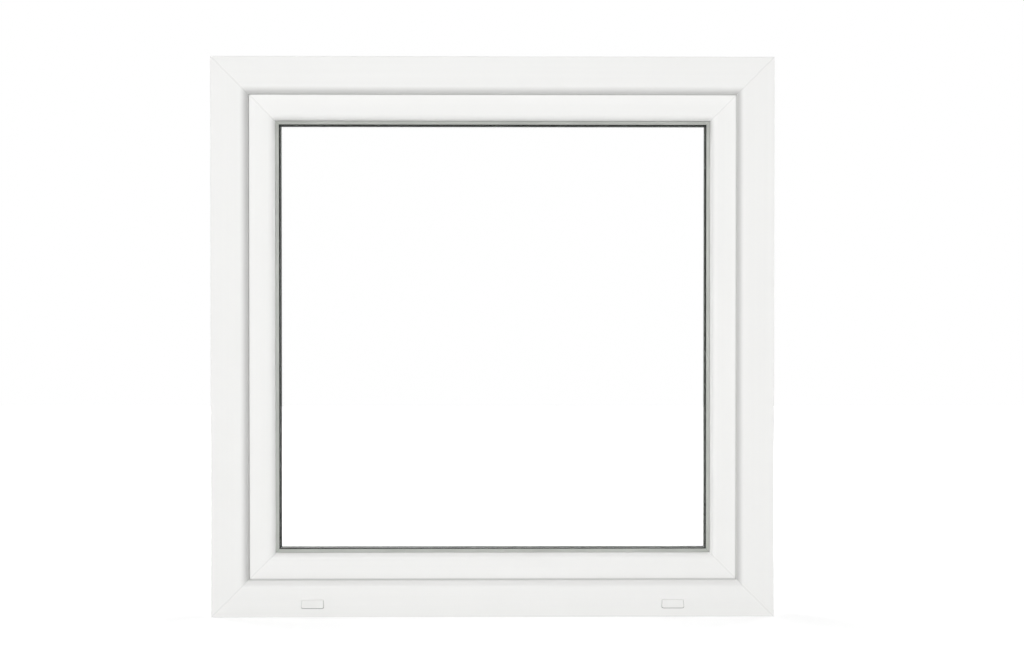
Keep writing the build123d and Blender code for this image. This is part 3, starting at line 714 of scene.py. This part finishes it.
def makeHoleTree(material):
    tree, given, result = newGeometryTree(
        "spacerHoleTree",
        [
            ("Width", "NodeSocketFloat", 0.76),
            ("Height", "NodeSocketFloat", 0.76),
            ("Corner Gap", "NodeSocketFloat", 0.01),
            ("Pitch", "NodeSocketFloat", 0.006),
            ("Row Gap", "NodeSocketFloat", 0.005),
            ("Hole Diameter", "NodeSocketFloat", 0.001),
            ("Hole Height", "NodeSocketFloat", 0.0001),
            ("Middle", "NodeSocketVector", (0.0, 0.0, 0.5)),
        ],
    )
    hole = newNode(tree, "GeometryNodeMeshCylinder")
    hole.inputs["Vertices"].default_value = holeLook["sides"]
    join(tree, mathNode(tree, "MULTIPLY", given.outputs["Hole Diameter"], 0.5), hole.inputs["Radius"])
    join(tree, given.outputs["Hole Height"], hole.inputs["Depth"])
    allSides = newNode(tree, "GeometryNodeJoinGeometry")
    for turn in (0, 90, 180, 270):
        across, reach = ("Width", "Height") if turn % 180 == 0 else ("Height", "Width")
        halfSide = mathNode(tree, "MULTIPLY", given.outputs[across], 0.5)
        half = mathNode(tree, "SUBTRACT", halfSide, given.outputs["Corner Gap"])
        bothRows = newNode(tree, "GeometryNodeJoinGeometry")
        for way in (-0.5, 0.5):
            start = newNode(tree, "ShaderNodeCombineXYZ")
            end = newNode(tree, "ShaderNodeCombineXYZ")
            shift = mathNode(tree, "MULTIPLY", given.outputs["Pitch"], way / 2)
            join(tree, mathNode(tree, "SUBTRACT", shift, half), start.inputs["X"])
            join(tree, mathNode(tree, "ADD", shift, half), end.inputs["X"])
            aside = mathNode(tree, "MULTIPLY", given.outputs["Row Gap"], way)
            down = mathNode(tree, "MULTIPLY", given.outputs[reach], -0.5)
            for place in (start, end):
                join(tree, aside, place.inputs["Y"])
                join(tree, down, place.inputs["Z"])
            row = newNode(tree, "GeometryNodeMeshLine", mode="END_POINTS", count_mode="RESOLUTION")
            join(tree, start.outputs[0], row.inputs["Start Location"])
            join(tree, end.outputs[0], row.inputs["Offset"])
            join(tree, given.outputs["Pitch"], row.inputs["Resolution"])
            holes = newNode(tree, "GeometryNodeInstanceOnPoints")
            join(tree, row.outputs[0], holes.inputs["Points"])
            join(tree, hole.outputs["Mesh"], holes.inputs["Instance"])
            join(tree, holes.outputs[0], bothRows.inputs[0])
        side = newNode(tree, "GeometryNodeTransform")
        side.inputs["Rotation"].default_value = (0.0, math.radians(turn), 0.0)
        join(tree, bothRows.outputs[0], side.inputs["Geometry"])
        join(tree, side.outputs[0], allSides.inputs[0])
    moved = newNode(tree, "GeometryNodeTransform")
    join(tree, allSides.outputs[0], moved.inputs["Geometry"])
    join(tree, given.outputs["Middle"], moved.inputs["Translation"])
    finishTree(tree, moved.outputs[0], material, result)
    return tree


def makeHoleMaterial():
    material, tree, shader, position = startMaterial("holeShade")
    tone = useGroup(tree, toneGroup, position, patchSize=0.02, grainSize=0.0004)
    join(tree, blendColor(tree, tone.outputs["Patches"], *holeLook["colors"]), shader.inputs["Base Color"])
    shader.inputs["Roughness"].default_value = 0.9
    return material


# The cavity between the four lengths of the bar: the sides that face each other
barLow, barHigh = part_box("glass_spacer_bottom")
cavityFloor = barHigh.z
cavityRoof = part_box("glass_spacer_top")[0].z
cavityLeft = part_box("glass_spacer_left")[1].x
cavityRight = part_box("glass_spacer_right")[0].x
spacerHoles = growPiece(
    "spacer_holes",
    makeHoleTree(makeHoleMaterial()),
    {
        "Width": cavityRight - cavityLeft,
        "Height": cavityRoof - cavityFloor,
        "Corner Gap": holeLook["cornerGap"],
        "Pitch": holeLook["pitch"],
        "Row Gap": holeLook["rowGap"],
        "Hole Diameter": holeLook["diameter"],
        "Hole Height": holeLook["height"],
        "Middle": ((cavityRight + cavityLeft) / 2, (barLow.y + barHigh.y) / 2, (cavityRoof + cavityFloor) / 2),
    },
)
print("spacer holes made,", len(spacerHoles.data.polygons), "faces")

# True for what the eye sees directly, mirrored or through glass
def seenRays(tree):
    rays = newNode(tree, "ShaderNodeLightPath")
    mirrored = mathNode(tree, "MAXIMUM", rays.outputs["Is Glossy Ray"], rays.outputs["Is Transmission Ray"])
    return mathNode(tree, "MAXIMUM", rays.outputs["Is Camera Ray"], mirrored)


# Floor, pale, white to the camera except where the window's shadow falls
floorLook = {
    "size": 12.0,
    "color": (0.75, 0.75, 0.75),
    "white": (0.55, 1.0),   # glow at the window, and far from it
    "fade": (0.5, 1.6),     # between these distances
}


def makeFloor():
    half = floorLook["size"] / 2
    mesh = bpy.data.meshes.new("floor")
    corners = [(-half, -half, 0.0), (half, -half, 0.0), (half, half, 0.0), (-half, half, 0.0)]
    mesh.from_pydata(corners, [], [(0, 1, 2, 3)])
    floor = bpy.data.objects.new("floor", mesh)
    scene.collection.objects.link(floor)
    material, tree, shader, position = startMaterial("floorPaper")
    shader.inputs["Base Color"].default_value = (*floorLook["color"], 1.0)
    shader.inputs["Roughness"].default_value = 0.9
    shader.inputs["Specular IOR Level"].default_value = 0.0
    glow = newNode(tree, "ShaderNodeEmission")
    reach = newNode(tree, "ShaderNodeVectorMath", operation="LENGTH")
    join(tree, position, reach.inputs[0])
    white = stepNode(tree, reach.outputs["Value"], *floorLook["fade"], *floorLook["white"])
    join(tree, mathNode(tree, "MULTIPLY", seenRays(tree), white), glow.inputs["Strength"])
    both = newNode(tree, "ShaderNodeAddShader")
    join(tree, shader.outputs[0], both.inputs[0])
    join(tree, glow.outputs[0], both.inputs[1])
    join(tree, both.outputs[0], tree.nodes["Material Output"].inputs["Surface"])
    mesh.materials.append(material)


makeFloor()

# World: white where it is seen, plain soft light elsewhere
worldLook = {
    "ambient": 0.08,
}


def makeWorld():
    world = bpy.data.worlds.new("studio")
    scene.world = world
    world.use_nodes = True
    tree = world.node_tree
    back = tree.nodes["Background"]
    back.inputs["Color"].default_value = (1.0, 1.0, 1.0, 1.0)
    strength = newNode(tree, "ShaderNodeMapRange")
    join(tree, seenRays(tree), strength.inputs["Value"])
    strength.inputs["To Min"].default_value = worldLook["ambient"]
    strength.inputs["To Max"].default_value = 1.0
    join(tree, strength.outputs["Result"], back.inputs["Strength"])


makeWorld()

# Soft lamps: place, width and height in metres, power in watts.
# The front ones stand where their mirror images in the glass fall beside it.
lampLook = {
    "farHigh": {"place": (-1.25, -8.7, 2.8), "size": (1.3, 1.2), "power": 262.0},
    "farLeft": {"place": (-2.55, -8.6, 0.9), "size": (1.3, 1.2), "power": 218.0},
    "nearRight": {"place": (1.5, -3.4, 0.9), "size": (1.0, 1.0), "power": 23.0},
    "roomLeft": {"place": (-2.9, 2.4, 2.1), "size": (1.8, 1.4), "power": 72.0},
    "roomRight": {"place": (2.8, 2.5, 1.6), "size": (1.6, 1.6), "power": 66.0},
    "above": {"place": (0.1, 0.9, 3.7), "size": (1.4, 1.2), "power": 13.0},
}


def makeLamps():
    target = Vector((0.0, 0.0, windowSize["height"] / 2))
    for name, look in lampLook.items():
        lamp = bpy.data.lights.new(name, "AREA")
        lamp.shape = "RECTANGLE"
        lamp.size, lamp.size_y = look["size"]
        lamp.energy = look["power"]
        holder = bpy.data.objects.new(name, lamp)
        holder.location = look["place"]
        holder.rotation_euler = (target - holder.location).to_track_quat("-Z", "Y").to_euler()
        scene.collection.objects.link(holder)


makeLamps()

# Camera, square on to the window and a little above its middle
cameraLook = {
    "place": (0.012, -2.559, 0.5315),
    "turn": 0.5,            # degrees to the right
    "tilt": -0.58,          # degrees up, so a little down
    "lens": 50.0,
    "sensor": 36.0,
}


def makeCamera():
    camera = bpy.data.cameras.new("camera")
    camera.lens = cameraLook["lens"]
    camera.sensor_width = cameraLook["sensor"]
    holder = bpy.data.objects.new("camera", camera)
    holder.location = cameraLook["place"]
    level = math.radians(90.0)
    holder.rotation_euler = (level + math.radians(cameraLook["tilt"]), 0.0, -math.radians(cameraLook["turn"]))
    scene.collection.objects.link(holder)
    scene.camera = holder


makeCamera()
scene.view_settings.view_transform = "Standard"
print("stage set")
